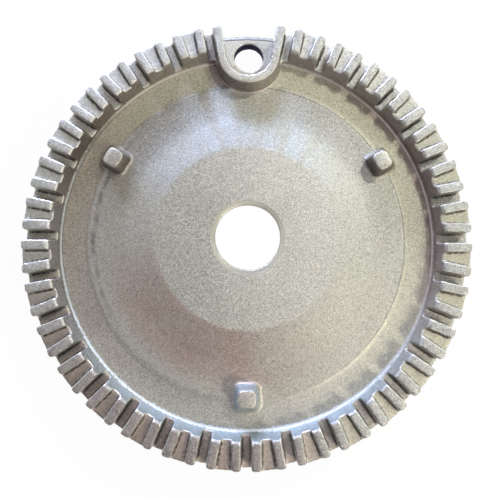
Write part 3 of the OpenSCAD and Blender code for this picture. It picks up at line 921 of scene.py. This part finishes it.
    # painted light and shade: how much paler or duller each stretch is than its base colour, by bearing
    onFoot = both(between(radius, 42.1, 42.9, 0.15), between(xyz[2], floorZ - 0.6, floorZ + 0.65, 0.15))
    coneFoot = both(onCone, mapped(tree, radius, 26.5, 31.0))
    onCrease = both(between(radius, 35.95, 36.75, 0.2), flatUp)
    onPegTop = both(between(radius, 31.5, 38.5, 0.3), mapped(tree, xyz[2], ribTop - 0.7, ribTop - 0.4), flatUp)
    sideEdge = both(mapped(tree, radius, 43.4, 44.2), mapped(tree, stored("edgeWear"), 0.15, 0.6),
                    mapped(tree, calc(tree, "ABSOLUTE", sideways[1]), 0.6, 0.25))
    level = 1.0
    for where, bearingAt, reach, amount in (
            (onPlateau, 75, 170, 0.26), (onPlateau, 325, 60, -0.08), (onFloor, 140, 60, 0.13),
            (onFloor, 62, 48, -0.16), (onFloor, 322, 50, -0.08), (onFloor, 268, 50, -0.13), (coneFoot, 50, 62, -0.20), (coneFoot, 3, 22, 0.06),
            (coneFoot, 322, 50, -0.20), (coneFoot, 212, 50, 0.12), (onRib, 90, 130, -0.15),
            (onRib, 305, 60, 0.08), (onLand, 290, 70, 0.08), (onLand, 65, 35, -0.08), (onWall, 85, 50, 0.25),
            (onWall, 270, 40, 0.05), (onWall, 245, 30, -0.24), (onWall, 32, 35, 0.12), (inSlot, 72, 55, -0.18), (inSlot, 15, 40, 0.16),
            (inSlot, 145, 40, -0.12), (inSlot, 212, 50, -0.08), (onRib, 238, 40, 0.10), (onLand, 25, 35, 0.08),
            (inSlot, 300, 40, -0.05), (inSlot, 180, 28, 0.28), (onCrease, 250, 85, 0.16), (onFoot, 284, 62, -0.4), (onPegTop, 0, 180, 0.14), (sideEdge, 190, 90, -0.45)):
        level = calc(tree, "MULTIPLY_ADD", both(where, toward(bearingAt, reach)), amount, level)
    level = calc(tree, "MULTIPLY_ADD", onPlateau, -0.08, level)
    # painted shade: the bottom wall duller towards the rib tops
    level = calc(tree, "MULTIPLY_ADD", both(bottomWall, mapped(tree, xyz[2], floorZ + 1.2, ribTop - 0.3)), -0.22, level)
    shade = calc(tree, "MULTIPLY_ADD", speck["Fleck"], coarse, level)
    tone = blended(tree, 1.0, tone, put(tree, "ShaderNodeCombineXYZ", {0: shade, 1: shade, 2: shade}).outputs[0],
                   "MULTIPLY")
    steep = mapped(tree, up, 0.75, 0.3)
    # painted shadow: a dark line in the corner where a rib rises from the land or the slot, on the side that faces the
    # bottom
    onRim = mapped(tree, radius, 43.2, 44.0)
    cornerLine = both(onRim, mapped(tree, stored("cavity"), 0.2, 0.7), mapped(tree, sideways[1], 0.25, -0.15),
                      calc(tree, "MULTIPLY_ADD", patch(2.0, 0.6, 0.2, 7), 0.4, 0.6))
    tone = blended(tree, share(cornerLine, 0.85), tone, finish["soot"])
    # painted shadow of the wall on the ring floor at its foot, on the right
    footShadow = both(between(radius, 40.95, 43.6, 0.35), between(xyz[2], floorZ - 0.6, floorZ + 0.9, 0.3), toward(68, 60),
                    calc(tree, "MULTIPLY_ADD", patch(1.2, 0.6, 0.06, 10), 0.8, 0.2))
    tone = blended(tree, share(footShadow, 0.75), tone, finish["wallShade"])
    # dirt and painted shade in shut-in places and corners, less where the light reaches
    dirtAndShade = use(tree, dirtAndShadeTree, {"Place": place, "Shelter": stored("shelter"), "Corner": stored("cavity"), "Low": 0.24,
                             "High": 0.75, "Break Up": 0.2})["Mask"]
    dirtAndShade = both(dirtAndShade, calc(tree, "MULTIPLY_ADD", steep, 0.35, 0.6), calc(tree, "MULTIPLY_ADD", toward(235, 100), 0.5, 0.7),
                 calc(tree, "MULTIPLY_ADD", bottomWall, -0.8, 1.0),
                 calc(tree, "MULTIPLY_ADD", both(inSlot, toward(45, 80)), -0.75, 1.0),
                 calc(tree, "MULTIPLY_ADD", both(onFoot, toward(75, 70)), -0.9, 1.0),
                 calc(tree, "MULTIPLY_ADD", between(radius, 34.9, 37.2, 0.3), share(flatUp, -0.85), 1.0),
                 calc(tree, "MULTIPLY_ADD", both(onCone, toward(0, 30)), -0.6, 1.0))
    tone = blended(tree, dirtAndShade, tone, finish["soot"])
    # painted highlight on the inner ends of the ribs at the bottom
    atBottom = both(toward(185, 80), mapped(tree, radius, 43.0, 43.6))
    worn = calc(tree, "MULTIPLY_ADD", atBottom, 0.16, stored("edgeWear"))
    wearAndHighlight = use(tree, wear, {"Place": place, "Edge": worn, "Amount": 1.0})["Mask"]
    # painted highlight: bright line along the fillet at the foot of the bottom wall
    crumb = put(tree, "ShaderNodeTexNoise", {"Vector": place, "Scale": 1.7, "Detail": 4.0}).outputs[0]
    raggedRadius = calc(tree, "MULTIPLY_ADD", calc(tree, "SUBTRACT", crumb, 0.5), 0.9, radius)
    footLine = both(between(raggedRadius, 42.15, 42.7, 0.1), between(xyz[2], floorZ - 0.6, floorZ + 0.55, 0.15),
                    toward(185, 88))
    # painted highlight: the rubbed edges show bright mostly where they face the top
    wearAndHighlight = both(wearAndHighlight, calc(tree, "MULTIPLY_ADD", mapped(tree, sideways[1], -0.1, 0.4), 0.88, 0.12),
                  mapped(tree, xyz[2], creaseZ + 0.8, creaseZ + 1.4))
    tone = blended(tree, wearAndHighlight, tone, finish["worn"])
    # painted pale highlights along the fillets at the foot of the ring wall and of the recess wall
    thinFoot = both(onFoot, between(radius, 42.32, 42.62, 0.1))
    tone = blended(tree, both(thinFoot, toward(75, 65), calc(tree, "MULTIPLY_ADD", patch(1.3, 0.6, 0.1, 12), 0.5, 0.4)),
                   tone, finish["footPink"])
    tone = blended(tree, both(thinFoot, share(toward(262, 45), 0.35)), tone, finish["footLine"])
    tone = blended(tree, both(thinFoot, share(toward(-27, 32), 0.6)), tone, finish["footPink"])
    tone = blended(tree, share(recessFoot, 0.7), tone, finish["footPink"])
    tone = blended(tree, share(footLine, 0.9), tone, finish["footLine"])
    # painted light and shade that even out the throat's lip: paler on the side away from the lights, duller where they
    # catch it
    tone = blended(tree, inThroat, tone, blended(tree, toward(225, 150), finish["throat"], finish["throatLit"]))
    # painted shade: the wall of the electrode bore dark navy
    tone = blended(tree, inBore, tone, finish["bore"])

    plain = calc(tree, "SUBTRACT", 1.0, calc(tree, "MAXIMUM", inThroat, inBore))
    rough = calc(tree, "MULTIPLY_ADD", speck["Fleck"], 0.10, finish["roughness"])
    rough = calc(tree, "MULTIPLY_ADD", dirtAndShade, 0.25, rough)
    rough = calc(tree, "MULTIPLY_ADD", wearAndHighlight, -0.12, rough)
    rough = calc(tree, "MULTIPLY_ADD", inThroat, -0.05, rough)
    rough = calc(tree, "MULTIPLY_ADD", inBore, 0.35, rough)
    metal = calc(tree, "MULTIPLY_ADD", dirtAndShade, -0.6, finish["metallic"])
    metal = calc(tree, "MULTIPLY_ADD", inBore, -finish["metallic"], metal)
    height = calc(tree, "MULTIPLY", speck["Height"], plain)
    bump = put(tree, "ShaderNodeBump", {"Height": height, "Strength": 0.6, "Distance": finish["grainHeight"] * mm})
    skinShade = put(tree, "ShaderNodeBsdfPrincipled", {"Base Color": tone, "Metallic": metal, "Roughness": rough,
                                                       "Normal": bump.outputs[0]})
    put(tree, "ShaderNodeOutputMaterial", {"Surface": skinShade.outputs[0]})
    return material


castAluminium = castMaterial()
casting = makeCasting(castAluminium)
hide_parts("burner_head")
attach(casting, "root")


stage = {
    "halfSize": 2.0,            # m
    "paint": (0.8, 0.8, 0.8),
    "white": 0.95,              # share of the floor's look that is plain white, the rest shows the shadow
    "underHead": 0.6,           # share of the head's radius within which the floor is all white
    "horizon": (0.90, 0.90, 0.90),
    "ceiling": (0.12, 0.13, 0.15),
    "horizonTop": 12,           # degrees above level
    "ceilingFrom": 32,
}


def makeFloor(spec):
    bm = bmesh.new()
    bmesh.ops.create_grid(bm, x_segments=1, y_segments=1, size=spec["halfSize"])
    floor = pieceFrom(bm, "floor")
    material = bpy.data.materials.new("pale_floor")
    material.use_nodes = True
    tree = material.node_tree
    tree.nodes.clear()
    path = put(tree, "ShaderNodeLightPath").outputs
    seen = calc(tree, "MAXIMUM", calc(tree, "MAXIMUM", path["Is Camera Ray"], path["Is Glossy Ray"]),
                path["Is Transmission Ray"])
    place = put(tree, "ShaderNodeTexCoord").outputs["Object"]
    away = put(tree, "ShaderNodeVectorMath", {0: place}, operation="LENGTH").outputs["Value"]
    edge = spec["underHead"] * headRadius * mm
    share = mapped(tree, away, edge, edge * 1.5, 1.0, spec["white"])
    paint = put(tree, "ShaderNodeBsdfDiffuse", {"Color": (*spec["paint"], 1)})
    white = put(tree, "ShaderNodeEmission", {"Color": (1, 1, 1, 1), "Strength": 1.0})
    mix = put(tree, "ShaderNodeMixShader", {0: calc(tree, "MULTIPLY", seen, share), 1: paint.outputs[0],
                                            2: white.outputs[0]})
    put(tree, "ShaderNodeOutputMaterial", {"Surface": mix.outputs[0]})
    floor.data.materials.append(material)
    return floor


def makeWorld(spec):
    # a pale backdrop low down and a dim ceiling
    world = bpy.data.worlds.new("studio")
    world.use_nodes = True
    tree = world.node_tree
    way = put(tree, "ShaderNodeSeparateXYZ", {0: put(tree, "ShaderNodeTexCoord").outputs["Generated"]}).outputs[2]
    high = mapped(tree, way, math.sin(math.radians(spec["horizonTop"])), math.sin(math.radians(spec["ceilingFrom"])))
    feed(tree, tree.nodes["Background"].inputs["Color"], blended(tree, high, spec["horizon"], spec["ceiling"]))
    bpy.context.scene.world = world
    return world


makeFloor(stage)
makeWorld(stage)

# bearings are clockwise from the recess, seen from above
lights = {
    "window": {"bearing": -15, "elevation": 16, "distance": 0.6, "size": (0.36, 0.14), "power": 5.1,
               "colour": (0.63, 0.71, 1.0)},
    "key": {"bearing": 43, "elevation": 44, "distance": 0.6, "size": (0.07, 0.07), "power": 1.42,
            "colour": (0.98, 1.0, 0.91)},
    "right": {"bearing": 130, "elevation": 38, "distance": 0.6, "size": (0.12, 0.12), "power": 1.9,
              "colour": (1.0, 0.95, 0.80)},
    "side": {"bearing": 85, "elevation": 38, "distance": 0.6, "size": (0.12, 0.12), "power": 0.48,
             "colour": (0.86, 1.0, 0.72)},
    "overhead": {"bearing": 320, "elevation": 72, "distance": 0.6, "size": (0.12, 0.12), "power": 0.40,
                 "colour": (1.0, 0.96, 0.82)},
    "overheadRight": {"bearing": 120, "elevation": 76, "distance": 0.6, "size": (0.25, 0.25), "power": 0.26,
                      "colour": (0.8, 0.78, 1.0)},
}


def makeLight(name, spec):
    made = bpy.data.objects.new(name, bpy.data.lights.new(name, "AREA"))
    bpy.context.scene.collection.objects.link(made)
    made.data.shape = "RECTANGLE"
    made.data.size, made.data.size_y = spec["size"]
    made.data.energy = spec["power"]
    made.data.color = spec["colour"]
    bearing, elevation = math.radians(spec["bearing"]), math.radians(spec["elevation"])
    way = Vector((math.sin(bearing) * math.cos(elevation), math.cos(bearing) * math.cos(elevation),
                  math.sin(elevation)))
    made.matrix_world = Matrix.Translation(way * spec["distance"]) @ way.to_track_quat("Z", "Y").to_matrix().to_4x4()
    return made


for lightName, lightSpec in lights.items():
    makeLight(lightName, lightSpec)

bpy.context.scene.view_settings.view_transform = "Standard"
print("stage and lights set")
